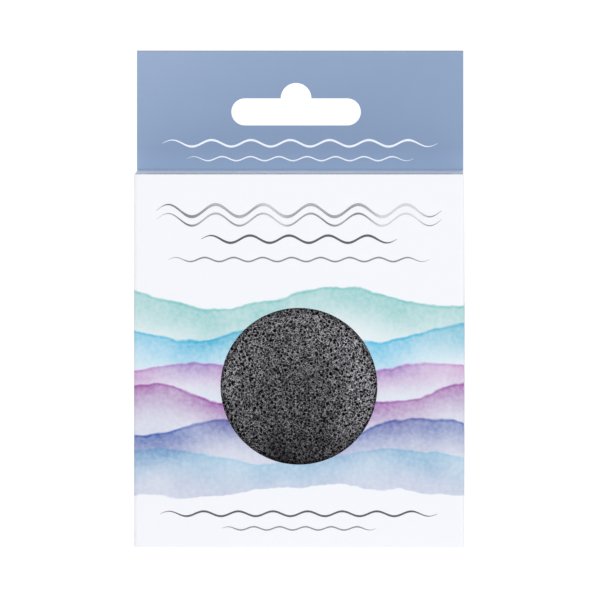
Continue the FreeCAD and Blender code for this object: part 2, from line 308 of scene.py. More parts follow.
def board_back():
    """The uncoated back of the boxboard: matt, warm white, with grey and straw fibres pressed into it."""
    material, tree = new_material("uncoated_boxboard_back")
    blank = add(tree, "ShaderNodeAttribute", attribute_name="blank").outputs["Vector"]
    along = add(tree, "ShaderNodeMapping", {"Vector": blank, "Scale": (1.0, 0.3, 1.0)}).outputs[0]
    fibres = add(tree, "ShaderNodeTexNoise",
                 {"Vector": along, "Scale": 1 / (0.5 * MM), "Detail": 6.0, "Roughness": 0.7}).outputs["Fac"]
    clouds = add(tree, "ShaderNodeTexNoise",
                 {"Vector": blank, "Scale": 1 / (5 * MM), "Detail": 3.0}).outputs["Fac"]
    mixed = add(tree, "ShaderNodeMath", {0: clouds, 1: 0.4, 2: fibres}, operation="MULTIPLY_ADD").outputs[0]
    share = add(tree, "ShaderNodeMapRange", {"Value": mixed, "From Min": 0.4, "From Max": 1.0}).outputs[0]
    colour = add(tree, "ShaderNodeMix", {"Factor": share, 6: linear("#DAD8D2"), 7: linear("#E9E7E2")},
                 data_type="RGBA").outputs[2]
    bump = add(tree, "ShaderNodeBump",
               {"Strength": 0.4, "Distance": 0.04 * MM, "Height": fibres}).outputs[0]
    surface(tree, {"Base Color": colour, "Roughness": 0.85, "Normal": bump, "IOR": 1.45})
    return material


def board_edge():
    """A die-cut edge: torn pulp in cream and grey layers, quite matt."""
    material, tree = new_material("die_cut_pulp_edge")
    blank = add(tree, "ShaderNodeAttribute", attribute_name="blank").outputs["Vector"]
    pulp = add(tree, "ShaderNodeTexNoise",
               {"Vector": blank, "Scale": 1 / (0.3 * MM), "Detail": 4.0}).outputs["Fac"]
    share = add(tree, "ShaderNodeMapRange", {"Value": pulp, "From Min": 0.3, "From Max": 0.7}).outputs[0]
    colour = add(tree, "ShaderNodeMix", {"Factor": share, 6: linear("#BEBCB8"), 7: linear("#DCDAD6")},
                 data_type="RGBA").outputs[2]
    surface(tree, {"Base Color": colour, "Roughness": 0.9, "IOR": 1.45})
    return material


def silver_foil():
    """Hot-stamped silver foil, a thin metal that follows the fibres.

    Its mirror is a little broken, with bright and dull stretches where the stamp pressed more or less.
    """
    material, tree = new_material("hot_stamped_silver_foil")
    where = add(tree, "ShaderNodeTexCoord").outputs["Object"]
    dimples = add(tree, "ShaderNodeTexNoise",
                  {"Vector": where, "Scale": 1 / (0.8 * MM), "Detail": 3.0}).outputs["Fac"]
    press = add(tree, "ShaderNodeTexNoise",
                {"Vector": where, "Scale": 1 / (13 * MM), "Detail": 1.0}).outputs["Fac"]
    pressed = add(tree, "ShaderNodeMapRange",
                  {"Value": press, "From Min": 0.38, "From Max": 0.62}).outputs[0]
    colour = add(tree, "ShaderNodeMix", {"Factor": pressed, 6: linear("#82858B"), 7: linear("#D2D4D8")},
                 data_type="RGBA").outputs[2]
    rough = add(tree, "ShaderNodeMapRange", {"Value": dimples, "To Min": 0.16, "To Max": 0.34}).outputs[0]
    bump = add(tree, "ShaderNodeBump",
               {"Strength": 0.35, "Distance": 0.03 * MM, "Height": dimples}).outputs[0]
    surface(tree, {"Base Color": colour, "Metallic": 1.0, "Roughness": rough, "Normal": bump})
    return material


def printing_ink(name, thin, full):
    """A screened ink line: flat and matt, a little thinner where the board's fibres lift it."""
    material, tree = new_material(name)
    where = add(tree, "ShaderNodeTexCoord").outputs["Object"]
    lift = add(tree, "ShaderNodeTexNoise",
               {"Vector": where, "Scale": 1 / (0.4 * MM), "Detail": 3.0}).outputs["Fac"]
    colour = add(tree, "ShaderNodeMix", {"Factor": lift, 6: linear(thin), 7: linear(full)},
                 data_type="RGBA").outputs[2]
    surface(tree, {"Base Color": colour, "Roughness": 0.5, "IOR": 1.5})
    return material


# Konjac foam: the sizes of its texture, and its painted light and shade
FOAM_SPECK = 0.24 * MM
FOAM_STRAY = 0.2 * MM  # how far the walls of its cells are pushed about
FOAM_CELL = 0.42 * MM
FOAM_PIT = 0.9 * MM  # between pits
FOAM_CLOUD = 8.0 * MM
PAINTED_LIGHT_FROM = Vector((0.371, 0.0, 0.929))  # towards the side that painted light makes paler
PAINTED_SHADE_RANGE = (0.37, 0.8)  # share of painted shade on its paler and on its darker side
FLANK_PAINTED_LIGHT = 0.33  # share of painted light that makes both flanks paler


def konjac_foam():
    """Dried konjac foam loaded with charcoal powder.

    It gives the eye a dry grey-black sponge: pale wiry cell walls over hollows darkened with painted
    shade, with no gloss but a faint glint on the walls. Its finest cells are drawn coarser than life, so
    that they show.
    """
    material, tree = new_material("charcoal_konjac_foam")
    where = add(tree, "ShaderNodeTexCoord").outputs["Object"]
    painted_pit_shade = add(tree, "ShaderNodeAttribute", attribute_name="painted_pit_shade").outputs["Fac"]
    specks = add(tree, "ShaderNodeTexNoise",
                 {"Vector": where, "Scale": 1 / FOAM_SPECK, "Detail": 2.0, "Roughness": 0.7})
    clouds = add(tree, "ShaderNodeTexNoise",
                 {"Vector": where, "Scale": 1 / FOAM_CLOUD, "Detail": 3.0}).outputs["Fac"]
    stray = add(tree, "ShaderNodeVectorMath",
                {0: specks.outputs["Color"], 1: (FOAM_STRAY,) * 3, 2: where},
                operation="MULTIPLY_ADD").outputs[0]
    edges = add(tree, "ShaderNodeTexVoronoi", {"Vector": stray, "Scale": 1 / FOAM_CELL},
                feature="DISTANCE_TO_EDGE").outputs["Distance"]
    # Painted shade: cell floors darken towards the middle of each cell
    floors = add(tree, "ShaderNodeMapRange", {"Value": edges, "From Max": 0.3, "To Max": 0.5}).outputs[0]
    speck = add(tree, "ShaderNodeMapRange",
                {"Value": specks.outputs["Fac"], "From Min": 0.32, "From Max": 0.68,
                 "To Min": 0.42, "To Max": -0.46}).outputs[0]

    # Pits all over, darkened with painted shade, each as wide as chance has it: the mesh holds only the
    # larger pores near the window
    pits = add(tree, "ShaderNodeTexVoronoi", {"Vector": stray, "Scale": 1 / FOAM_PIT}).outputs
    luck = add(tree, "ShaderNodeSeparateColor", {"Color": pits["Color"]}).outputs[0]
    reach = add(tree, "ShaderNodeMapRange",
                {"Value": luck, "From Min": 0.25, "To Min": 0.01, "To Max": 0.5}).outputs[0]
    slope = add(tree, "ShaderNodeMath", {0: reach, 1: 0.65}, operation="MULTIPLY").outputs[0]
    pit = add(tree, "ShaderNodeMapRange",
              {"Value": pits["Distance"], "From Min": reach, "From Max": slope}).outputs[0]
    deep = add(tree, "ShaderNodeMath", {0: painted_pit_shade, 1: pit}, operation="MAXIMUM").outputs[0]
    deep = add(tree, "ShaderNodeMath", {0: deep, 1: floors}, operation="ADD").outputs[0]
    deep = add(tree, "ShaderNodeMath", {0: deep, 1: speck}, operation="ADD", use_clamp=True).outputs[0]
    # Painted light and shade: the ramp runs from pale lit walls to dark shaded hollows
    walls = add(tree, "ShaderNodeValToRGB", {"Fac": deep})
    ramp = walls.color_ramp
    ramp.elements[0].color = linear("#E4E2E8")
    ramp.elements[1].color = linear("#030303")
    for share, tone in ((0.12, "#A5A3AA"), (0.35, "#636266"), (0.6, "#29282B"), (0.8, "#0A090B")):
        ramp.elements.new(share).color = linear(tone)

    # Painted shade darkens one side, as if the dome were lit from the other, and painted light makes both
    # flanks paler
    level = add(tree, "ShaderNodeVectorMath", {0: where, 1: PAINTED_LIGHT_FROM},
                operation="DOT_PRODUCT").outputs["Value"]
    middle = SPONGE_HEIGHT * PAINTED_LIGHT_FROM.z
    painted_shade_slope = add(tree, "ShaderNodeMapRange",
                  {"Value": level, "From Min": middle + WINDOW_RADIUS, "From Max": middle - WINDOW_RADIUS,
                   "To Min": PAINTED_SHADE_RANGE[0], "To Max": PAINTED_SHADE_RANGE[1]}).outputs[0]
    across = add(tree, "ShaderNodeSeparateXYZ", {"Vector": where}).outputs["X"]
    flank = add(tree, "ShaderNodeMath", {0: across}, operation="ABSOLUTE").outputs[0]
    painted_flank_light = add(tree, "ShaderNodeMapRange",
                 {"Value": flank, "From Min": 0.3 * WINDOW_RADIUS, "From Max": WINDOW_RADIUS,
                  "To Max": FLANK_PAINTED_LIGHT}).outputs[0]
    shade = add(tree, "ShaderNodeMapRange",
                {"Value": clouds, "From Min": 0.3, "From Max": 0.7,
                 "To Min": 0.14, "To Max": 0.0}).outputs[0]
    dark = add(tree, "ShaderNodeMath", {0: shade, 1: painted_shade_slope}, operation="ADD").outputs[0]
    dark = add(tree, "ShaderNodeMath", {0: dark, 1: painted_flank_light},
               operation="SUBTRACT", use_clamp=True).outputs[0]
    colour = add(tree, "ShaderNodeMix", {"Factor": dark, 6: walls.outputs["Color"], 7: linear("#0A090B")},
                 data_type="RGBA").outputs[2]
    relief = add(tree, "ShaderNodeMath", {0: pit, 1: -0.6, 2: edges}, operation="MULTIPLY_ADD").outputs[0]
    bump = add(tree, "ShaderNodeBump",
               {"Strength": 0.5, "Distance": 0.06 * MM, "Height": relief}).outputs[0]
    surface(tree, {"Base Color": colour, "Roughness": 0.78, "Normal": bump, "IOR": 1.4,
                   "Specular IOR Level": 0.12})
    return material


def dried_adhesive():
    """A dried film of dispersion glue: milky, cloudy and slightly glossy."""
    material, tree = new_material("dried_dispersion_glue")
    where = add(tree, "ShaderNodeTexCoord").outputs["Object"]
    clouds = add(tree, "ShaderNodeTexNoise",
                 {"Vector": where, "Scale": 1 / (3 * MM), "Detail": 3.0}).outputs["Fac"]
    colour = add(tree, "ShaderNodeMix", {"Factor": clouds, 6: linear("#DED9C6"), 7: linear("#EFEBDD")},
                 data_type="RGBA").outputs[2]
    surface(tree, {"Base Color": colour, "Roughness": 0.4, "IOR": 1.47})
    return material


def studio_floor():
    """A sheet of white studio acrylic lit from below: matt and even, so that shadows stay faint on it."""
    material, tree = new_material("lit_white_acrylic")
    where = add(tree, "ShaderNodeTexCoord").outputs["Object"]
    tooth = add(tree, "ShaderNodeTexNoise",
                {"Vector": where, "Scale": 1 / (2 * MM), "Detail": 2.0}).outputs["Fac"]
    colour = add(tree, "ShaderNodeMix", {"Factor": tooth, 6: linear("#8A8A8B"), 7: linear("#8D8D8E")},
                 data_type="RGBA").outputs[2]
    surface(tree, {"Base Color": colour, "Roughness": 0.95, "Specular IOR Level": 0.0,
                   "Emission Color": linear("#FFFFFF"), "Emission Strength": FLOOR_GLOW})
    return material


class Face:
    """The printed face of a board, which turns flat coordinates u and v into a point in space."""

    def __init__(self, origin, across, along):
        self.origin, self.across, self.along = origin, across, along
        self.facing = across.cross(along)
        self.bends = []
        self.rows = ()  # heights at which the board's grid has a line of its own
        self.swell = None

    def bend(self, axis, at, side, radius, until=math.inf):
        """Bends the face past a coordinate, to one side, as far as a limit on the other axis.

        A negative radius bends it towards its printed face.
        """
        self.bends.append((axis, at, side, radius, until))
        return self

    def bow(self, u, v, amount):
        """Lets the middle of a stretch stand out, and warps it a little."""
        self.swell = (u, v, amount)
        return self

    def place(self, u, v):
        """The point, its facing and how far it is turned, in radians, for flat coordinates u and v."""
        for axis, at, side, radius, until in self.bends:
            past = side * ((u, v)[axis] - at)
            if past > 0 and (v, u)[axis] <= until:
                held = (at, v) if axis == 0 else (u, at)
                ahead = side * (self.across, self.along)[axis]
                turn = past / radius
                start = self.origin + self.across * held[0] + self.along * held[1]
                fall = radius * (1 - math.cos(turn))
                point = start + ahead * (radius * math.sin(turn)) - self.facing * fall
                return point, self.facing * math.cos(turn) + ahead * math.sin(turn), abs(turn)
        point = self.origin + self.across * u + self.along * v
        if self.swell:
            (u0, u1), (v0, v1), amount = self.swell
            share = 16 * (u - u0) * (u1 - u) * (v - v0) * (v1 - v) / ((u1 - u0) * (v1 - v0)) ** 2
            warp = 1 + WARP_SHARE * noise.noise(point / WARP_SIZE)
            point = point + self.facing * (amount * max(share, 0) * warp)
        return point, self.facing, 0.0


def rounded(corners):
    """A closed outline from corners (u, v, radius), with each rounded corner divided into short steps."""
    outline = []
    for i, (u, v, radius) in enumerate(corners):
        here = Vector((u, v))
        before = (Vector(corners[i - 1][:2]) - here).normalized()
        after = (Vector(corners[(i + 1) % len(corners)][:2]) - here).normalized()
        half = before.angle(after) / 2
        cut = radius / math.tan(half)
        steps = CORNER_STEPS if radius > 0 else 0
        centre = here + (before + after).normalized() * (radius / math.sin(half))
        start, end = here + before * cut - centre, here + after * cut - centre
        for k in range(steps + 1):
            turned = start.lerp(end, k / steps).normalized() * radius + centre if steps else here
            outline.append((turned.x, turned.y))
    return outline


def mirrored(right):
    """A closed outline from its right half, which is repeated on the left."""
    return right + [(-u, v) for u, v in reversed(right)]


def rectangle(u, v):
    """A plain rectangle between two limits on each flat axis."""
    return [(u[0], v[0]), (u[1], v[0]), (u[1], v[1]), (u[0], v[1])]


def arc(centre, radius, start, end):
    """Points along an arc, in degrees, both ends included."""
    steps = max(LEAST_STEPS, round(abs(end - start) * math.pi / 180 * radius / EDGE_PITCH))
    turns = [math.radians(start + (end - start) * k / steps) for k in range(steps + 1)]
    return [(centre[0] + radius * math.cos(t), centre[1] + radius * math.sin(t)) for t in turns]


def slot_outline(middle):
    """The peg slot: a bar with round ends and a half-round hump on its upper edge."""
    low = LID_LEVEL + SLOT_RISE
    reach = (SLOT_LENGTH - SLOT_HEIGHT) / 2
    height = low + SLOT_HEIGHT / 2
    right = arc((middle + reach, height), SLOT_HEIGHT / 2, -90, 90)
    hump = arc((middle, low + SLOT_HEIGHT), SLOT_HUMP, 0, 180)
    left = arc((middle - reach, height), SLOT_HEIGHT / 2, 90, 270)
    return right + hump + left


def divided(loop, lines):
    """A closed outline with points added where it crosses the grid's lines."""
    out = []
    for i, a in enumerate(loop):
        b = loop[(i + 1) % len(loop)]
        cuts = {0.0}
        for axis in (0, 1):
            span = b[axis] - a[axis]
            if abs(span) > SAME_POINT:
                shares = [(x - a[axis]) / span for x in lines[axis]]
                cuts |= {share for share in shares if NEAR_END < share < 1 - NEAR_END}
        out += [(a[0] + (b[0] - a[0]) * t, a[1] + (b[1] - a[1]) * t) for t in sorted(cuts)]
    return out


def inside(points, loops):
    """For each point, whether it lies inside an odd number of the closed outlines."""
    found = np.zeros(len(points), bool)
    for loop in loops:
        a = np.array(loop)
        b = np.roll(a, -1, axis=0)
        for (ax, ay), (bx, by) in zip(a, b):
            if ay != by:
                crosses = (ay > points[:, 1]) != (by > points[:, 1])
                found ^= crosses & (points[:, 0] < (bx - ax) * (points[:, 1] - ay) / (by - ay) + ax)
    return found


def grid_lines(low, high, face, axis):
    """Grid lines over a span, with close ones through each bend."""
    lines = set(np.linspace(low, high, max(2, round((high - low) / BOARD_PITCH) + 1)))
    for bend_axis, at, side, *_ in face.bends:
        if bend_axis == axis:
            end = high if side > 0 else low
            lines = {x for x in lines if side * (x - at) < -BEND_CLEAR}
            steps = BEND_STEPS * max(1, round(abs(end - at) / HALF_CREASE))
            lines |= set(np.linspace(at, end, steps + 1))
    return sorted(lines)


def triangles(outline, holes, face):
    """Flat points and triangles that fill an outline between its holes."""
    ends = np.array(outline)
    (u0, v0), (u1, v1) = ends.min(0), ends.max(0)
    lines = grid_lines(u0, u1, face, 0), sorted({*grid_lines(v0, v1, face, 1), *face.rows})
    loops = [divided(loop, lines) for loop in (outline, *holes)]
    nodes = np.array([(u, v) for u in lines[0][1:-1] for v in lines[1][1:-1]]).reshape(-1, 2)
    rim = np.array([p for loop in loops for p in loop])
    if len(nodes):
        nodes = nodes[inside(nodes, loops)]
    near = kdtree.KDTree(len(rim))
    for i, (u, v) in enumerate(rim):
        near.insert((u, v, 0), i)
    near.balance()
    clear = [p for p in nodes if near.find((p[0], p[1], 0))[2] > RIM_CLEAR]
    points = [Vector(p) for p in (*rim, *clear)]
    edges, first = [], 0
    for loop in loops:
        edges += [(first + i, first + (i + 1) % len(loop)) for i in range(len(loop))]
        first += len(loop)
    flat, _, faces, *_ = delaunay_2d_cdt(points, edges, [], 0, SAME_POINT)
    flat = np.array([tuple(p) for p in flat])
    faces = np.array([f for f in faces if len(f) == 3])
    return flat, faces[inside(flat[faces].mean(1), loops)]


def board(name, face, outline, blank, holes=(), finish=None, thickness=BOARD, lift=0.0, bend_shade=1.0):
    """Cuts a board from its flat outline, folds it into place and gives each side its finish.

    blank turns the flat coordinates into a place on the carton's printed blank, whose third number
    says whether the piece belongs to the column that carries the solid blue. The last argument says how
    much painted shade darkens the ink along the board's own bends.
    """
    flat, faces = triangles(outline, holes, face)
    placed = [face.place(u, v) for u, v in flat]
    outer = np.array([tuple(p + n * lift) for p, n, _ in placed])
    inner = np.array([tuple(p + n * (lift - thickness)) for p, n, _ in placed])
    count = len(flat)
    used = {}
    for a, b, c in faces:
        for edge in ((a, b), (b, c), (c, a)):
            used[edge] = True
    rim = [(a, b) for a, b in used if (b, a) not in used]
    polygons = [tuple(f) for f in faces]
    polygons += [(c + count, b + count, a + count) for a, b, c in faces]
    polygons += [(a, a + count, b + count, b) for a, b in rim]
    mesh = bpy.data.meshes.new(name)
    mesh.from_pydata([*map(tuple, outer), *map(tuple, inner)], [], [tuple(map(int, p)) for p in polygons])
    for material in finish or (PRINT, INSIDE, EDGE):
        mesh.materials.append(material)
    kinds = [0] * len(faces) + [1] * len(faces) + [2] * len(rim)
    mesh.polygons.foreach_set("material_index", [min(k, len(mesh.materials) - 1) for k in kinds])
    mesh.polygons.foreach_set("use_smooth", [True] * len(polygons))
    mesh.set_sharp_from_angle(angle=SHARP)
    spots = np.array([blank(u, v) for u, v in flat], np.float32)
    printed = mesh.attributes.new("blank", "FLOAT_VECTOR", "POINT")
    printed.data.foreach_set("vector", np.tile(spots, (2, 1)).ravel())
    # The fold attribute carries painted shade along the bends
    turned = np.array([bend_shade * min(1.0, turn / FULL_SHADE_TURN) for _, _, turn in placed], np.float32)
    mesh.attributes.new("fold", "FLOAT", "POINT").data.foreach_set("value", np.tile(turned, 2))
    return new_object(name, mesh)


def panel(piece, body, node):
    """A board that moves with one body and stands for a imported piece."""
    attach(piece, body)
    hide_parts(node)


def crease(piece):
    """A bent strip of board, its placement baked into its mesh."""
    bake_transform(piece)


def front_face():
    """The front wall's printed face, which stands out a little in the middle."""
    face = Face(Vector((0, FRONT, 0)), RIGHT, UP)
    return face.bow((-FRONT_RUN, FRONT_RUN), (0, front_high.z), PANEL_BOW)


def upright_panels():
    """The four walls, the hang tab and the seam flap: the pieces that don't move."""
    front = front_face().bend(0, FRONT_RUN, 1, CREASE).bend(0, -FRONT_RUN, -1, CREASE)
    half, full = FRONT_RUN + HALF_CREASE, FRONT_RUN + QUARTER_CREASE
    window = arc((0, SPONGE_HEIGHT), WINDOW_RADIUS, 0, 360)[:-1]
    # Past the ends of the side walls, small ears round off the corners
    front.rows = SIDE_FOOT, SIDE_TOP
    right = [(full, 0), (full, SIDE_FOOT), (half, SIDE_FOOT),
             (half, SIDE_TOP), (full, SIDE_TOP), (full, front_high.z)]
    panel(board("front_board", front, mirrored(right), lambda u, v: (u, v, 0), [window]),
          "carton", "front_panel")

    for side, rear, node in ((1, BACK, "right_side_panel"), (-1, SEAM_FACE, "left_side_panel")):
        run = rear - FRONT - 2 * CREASE
        wall = Face(Vector((side * HALF_WIDTH, FRONT + CREASE, 0)), REAR * side, UP)
        near, far = sorted((0.0, side * run))
        wall.bow((near, far), (SIDE_FOOT, SIDE_TOP), PANEL_BOW / 2)
        wall.bend(0, far, 1, CREASE).bend(0, near, -1, CREASE)
        outline = rectangle((near - HALF_CREASE, far + HALF_CREASE), (SIDE_FOOT, SIDE_TOP))
        panel(board(node.replace("panel", "board"), wall, outline,
                    lambda u, v, s=side: (s * SIDE_START + u, v, 0)), "carton", node)

    nick = SIDE_TOP + NICK
    back = Face(Vector((FRONT_RUN, BACK, 0)), -RIGHT, UP)
    back.bend(0, 0.0, -1, CREASE, until=SIDE_TOP + NICK / 2)
    left_edge = FRONT_RUN + HALF_WIDTH
    tab_near, tab_far = FRONT_RUN - TAB_HALF, FRONT_RUN + TAB_HALF
    back.bow((0, left_edge), (CREASE, SIDE_TOP), PANEL_BOW / 2)
    outline = [(0, CREASE), (left_edge, CREASE), (left_edge, SIDE_TOP), (tab_far, SIDE_TOP),
               (tab_far, TAB_SHOULDER), (tab_near, TAB_SHOULDER), (tab_near, nick), (0, nick),
               (0, SIDE_TOP), (-HALF_CREASE, SIDE_TOP), (-HALF_CREASE, SIDE_FOOT), (0, SIDE_FOOT)]
    panel(board("back_board", back, outline, lambda u, v: (BACK_START + u, v, 1),
                [slot_outline(FRONT_RUN - SLOT_OFFSET)]),
          "carton", "back_panel")

    ply = Face(Vector((0, PLY_FACE, 0)), RIGHT, UP).bend(1, TAB_SHOULDER, 1, FOLD)
    outline = rectangle((-TAB_HALF, TAB_HALF), (LID_LEVEL + CREASE_INSIDE, TAB_SHOULDER + math.pi * FOLD))
    panel(board("hang_tab_board", ply, outline, lambda u, v: (BACK_START + FRONT_RUN - u, PLY_START - v, 1),
                [slot_outline(SLOT_OFFSET)], bend_shade=FOLD_SHADE),
          "carton", "hang_tab_front_ply")

    width = seam_high.x + DUST_CREASE
    slope = width * SEAM_TAPER
    seam = Face(Vector((-DUST_CREASE, SEAM_FACE, 0)), -RIGHT, UP).bend(0, 0.0, 1, CREASE)
    outline = [(-width, seam_low.z + slope), (0, seam_low.z), (HALF_CREASE, seam_low.z),
               (HALF_CREASE, seam_high.z), (0, seam_high.z), (-width, seam_high.z - slope)]
    panel(board("seam_board", seam, outline, lambda u, v: (u - SIDE_START - SIDE_RUN, v, 0)),
          "carton", "seam_flap")


def dust_flaps():
    """The four dust flaps and the bent strips that they turn on."""
    for end, level, turn in (("top", dust_high.z, 1), ("bottom", bottom_dust_low.z, -1)):
        low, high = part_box(f"{end}_dust_flap_right")
        length = DUST_CREASE - low.x
        for side, name in ((1, "right"), (-1, "left")):
            rear = BACK if side > 0 else SEAM_FACE
            wall_end = SIDE_TOP if turn > 0 else SIDE_FOOT
            strip = Face(Vector((side * HALF_WIDTH, 0, wall_end)), REAR * side, UP)
            strip.bend(1, 0.0, turn, CREASE)
            span = sorted((side * (FRONT + CREASE), side * (rear - CREASE)))
            outline = rectangle(span, sorted((0.0, turn * QUARTER_CREASE)))
            middle = SIDE_START - FRONT - CREASE
            piece = board(f"{end}_dust_crease_{name}", strip, outline,
                          lambda u, v, m=side * middle, z=wall_end: (m + u, z + v, 0))
            crease(piece)

            flap = Face(Vector((side * DUST_CREASE, 0, level)), RIGHT, REAR * turn)
            tip = -side * length
            corners = [(0.0, low.y, 0), (0.0, high.y, 0),
                       (tip, high.y - length * DUST_HINGE_TAPER, DUST_CORNER),
                       (tip, low.y + length * DUST_FRONT_TAPER, DUST_CORNER)]
            outline = rounded([(u, turn * y, radius) for u, y, radius in corners])
            panel(board(f"{end}_dust_board_{name}", flap, outline,
                        lambda u, v, s=side, t=turn, z=wall_end:
                        (s * (middle + t * v), z + t * abs(u), 0)),
                  f"{end}_dust_{name}", f"{end}_dust_flap_{name}")


def lids():
    """Both lids with their hinge strips, nose strips and tuck flaps."""
    ends = (
        ("top", LID_LEVEL, 1, TOP_HINGE, "blue_boxboard", tuck_high.z),
        ("bottom", 0.0, -1, BOTTOM_HINGE, "white_boxboard", bottom_tuck_low.z),
    )
    for end, level, turn, hinge, slot, tuck_head in ends:
        # Hinge strip: a valley on the tab's front ply, or a plain fold at the foot of the back wall
        if end == "top":
            strip = Face(Vector((0, PLY_FACE, level + CREASE_INSIDE)), RIGHT, UP)
            strip.bend(1, 0.0, -1, -CREASE_INSIDE)
            outline = rectangle((-LID_HALF, LID_HALF), (-CREASE_INSIDE * math.pi / 2, 0.0))
            lid_start = LID_START

            def strip_blank(u, v):
                return BACK_START + FRONT_RUN - u, PLY_START - LID_LEVEL - CREASE_INSIDE - v, 1
        else:
            strip = Face(Vector((0, BACK, CREASE)), -RIGHT, UP).bend(1, 0.0, -1, CREASE)
            outline = rectangle((-DUST_CREASE, LID_HALF), (-QUARTER_CREASE, 0.0))
            lid_start = CREASE - QUARTER_CREASE

            def strip_blank(u, v):
                return BACK_START + FRONT_RUN + u, CREASE + v, 1
        crease(board(f"{end}_lid_crease", strip, outline, strip_blank, bend_shade=HINGE_SHADE))

        # The lid's own panel runs from the hinge to the nose
        length = hinge - NOSE
        lid = Face(Vector((0, hinge, level)), RIGHT, REAR * turn)
        span = sorted((-turn * length, 0.0))
        lid.bow((-LID_HALF, LID_HALF), span, turn * FLAP_BOW)
        panel(board(f"{end}_lid_board", lid, rectangle((-LID_HALF, LID_HALF), span),
                    lambda u, v, t=turn, b=lid_start: (BACK_START + FRONT_RUN - u, b + t * abs(v), 1)),
              f"{end}_lid", f"{end}_lid")

        # The nose strip bends down behind the front wall, and narrows halfway to the tuck flap's width
        nose = Face(Vector((0, NOSE, level)), RIGHT, REAR * turn).bend(1, 0.0, -turn, CREASE)
        right = [(LID_HALF, 0.0), (LID_HALF, -turn * HALF_CREASE),
                 (TUCK_HALF, -turn * HALF_CREASE), (TUCK_HALF, -turn * QUARTER_CREASE)]
        nose_start = lid_start + turn * length
        piece = board(f"{end}_nose_crease", nose, mirrored(right),
                      lambda u, v, t=turn, b=nose_start: (BACK_START + FRONT_RUN - u, b + t * abs(v), 1))
        crease(piece)

        # The tuck flap leans in a little, and its head closes on the nose strip
        pivot = Vector((0, lid_low.y + BOARD, tuck_head))
        along = Vector((0, -turn * math.sin(TUCK_LEAN), math.cos(TUCK_LEAN)))
        tuck = Face(pivot, RIGHT, along)
        tuck.origin = pivot + tuck.facing * BOARD
        depth = (tuck_high.z - tuck_low.z) / math.cos(TUCK_LEAN) - BOARD * math.tan(TUCK_LEAN)
        head = abs(level - turn * CREASE - tuck_head)
        corners = [(TUCK_HALF, head, 0), (-TUCK_HALF, head, 0),
                   (-TUCK_HALF, -depth, TUCK_CORNER), (TUCK_HALF, -depth, TUCK_CORNER)]
        outline = rounded([(u, turn * v, radius) for u, v, radius in corners])
        tuck_start = nose_start + turn * QUARTER_CREASE
        panel(board(f"{end}_tuck_board", tuck, outline,
                    lambda u, v, t=turn, b=tuck_start: (BACK_START + FRONT_RUN - u, b - v, 1)),
              f"{end}_tuck", f"{end}_tuck_flap")


# Stamped and printed lines, each a gentle wave
FOIL_LIFT = 0.02 * MM
FOIL_DEPTH = 0.03 * MM
WAVE_STEPS = 24
WAVE_TIP = 0.15  # share of its width that a line has at its tips
WAVE_TAPER = 8  # it grows to its full width over one part in this many


def wave_line(half, height, swing, swings, width):
    """The outline of a line of even width that waves about a height and tapers at both ends."""
    steps = WAVE_STEPS * swings
    upper, lower = [], []
    for k in range(steps + 1):
        u = half * (2 * k / steps - 1)
        rise = swing * math.sin(2 * math.pi * swings * k / steps)
        grown = width / 2 * min(1.0, WAVE_TAPER * min(k, steps - k) / steps + WAVE_TIP)
        upper.append((u, height + rise + grown))
        lower.append((u, height + rise - grown))
    return lower + upper[::-1]


def printed_lines():
    """Foil and ink lines on the front and on the hang tab."""
    front = front_face()
    tab = Face(Vector((0, PLY_FACE, 0)), RIGHT, UP)
    foil = silver_foil()
    white = printing_ink("opaque_white_ink", "#E4EAF2", "#F8FAFD")
    slate = printing_ink("slate_ink", "#5A5D64", "#3C3F46")
    grey = printing_ink("grey_ink", "#8A8D95", "#6C7078")
    # Each line: name, face, height, half length, swing, number of swings, width, finish, all lengths in mm
    lines = (
        ("foil_wave_upper", front, 82.6, 35.0, 1.5, 6, 0.75, foil),
        ("foil_wave_lower", front, 80.4, 35.0, 1.5, 6, 0.5, foil),
        ("slate_wave_front", front, 75.6, 24.0, 0.9, 5, 0.6, slate),
        ("grey_wave_front", front, 70.6, 32.0, 0.5, 9, 0.4, grey),
        ("slate_wave_foot", front, 8.2, 34.0, 0.6, 8, 0.5, slate),
        ("grey_wave_foot", front, 4.6, 19.0, 0.4, 6, 0.35, grey),
        ("white_wave_tab", tab, 98.4, 34.0, 0.8, 7, 0.55, white),
        ("white_wave_tab_short", tab, 94.6, 28.0, 0.5, 8, 0.35, white),
    )
    for name, face, height, half, swing, swings, width, finish in lines:
        outline = wave_line(half * MM, height * MM, swing * MM, swings, width * MM)
        piece = board(name, face, outline, lambda u, v: (u, v, 0), finish=(finish,),
                      thickness=FOIL_DEPTH, lift=FOIL_LIFT)
        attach(piece, "carton")


# Sponge: the same two-arc dome as the solid, with its cells and pores cut into it
SHOULDER = 20.0 * MM
BACK_ROUND = 6.0 * MM
WINDOW_SPACING = 0.17 * MM  # between points that the window shows
SIDE_SPACING = 0.53 * MM
BACK_SPACING = 1.5 * MM
WINDOW_REACH = 21.0 * MM
SIDE_GROWTH = 0.08
BACK_GROWTH = 0.3
CELL_SIZE = 0.85 * MM
CELL_DEPTH = 0.26 * MM
CELL_WALL = 0.42  # share of a cell over which its wall slopes
CELL_WANDER = 0.45
LIP = 1.5  # a pore's lip, kept pale of painted shade, reaches out to this many radii
PORES_PER_MM2 = 0.55
PORE_RADII = (0.24 * MM, 0.5 * MM)
PORE_SKEW = 2.2  # the larger, the rarer large pores are
PORE_DEPTHS = (1.1, 1.6)  # in radii
PORE_WALL = 0.45  # share of its radius over which a pore's wall slopes
PORE_LEAST = 1.2  # least radius, in spacings between points
PORE_SHADE = 0.8  # share of a pore's depth at which its painted shade is full
CELL_SHADE = 0.4  # how much painted shade a cell's floor gets beside a pore's
SPONGE_SAG = 0.5 * MM
SAG_SIZE = 13.0 * MM
SPONGE_SEED = 11


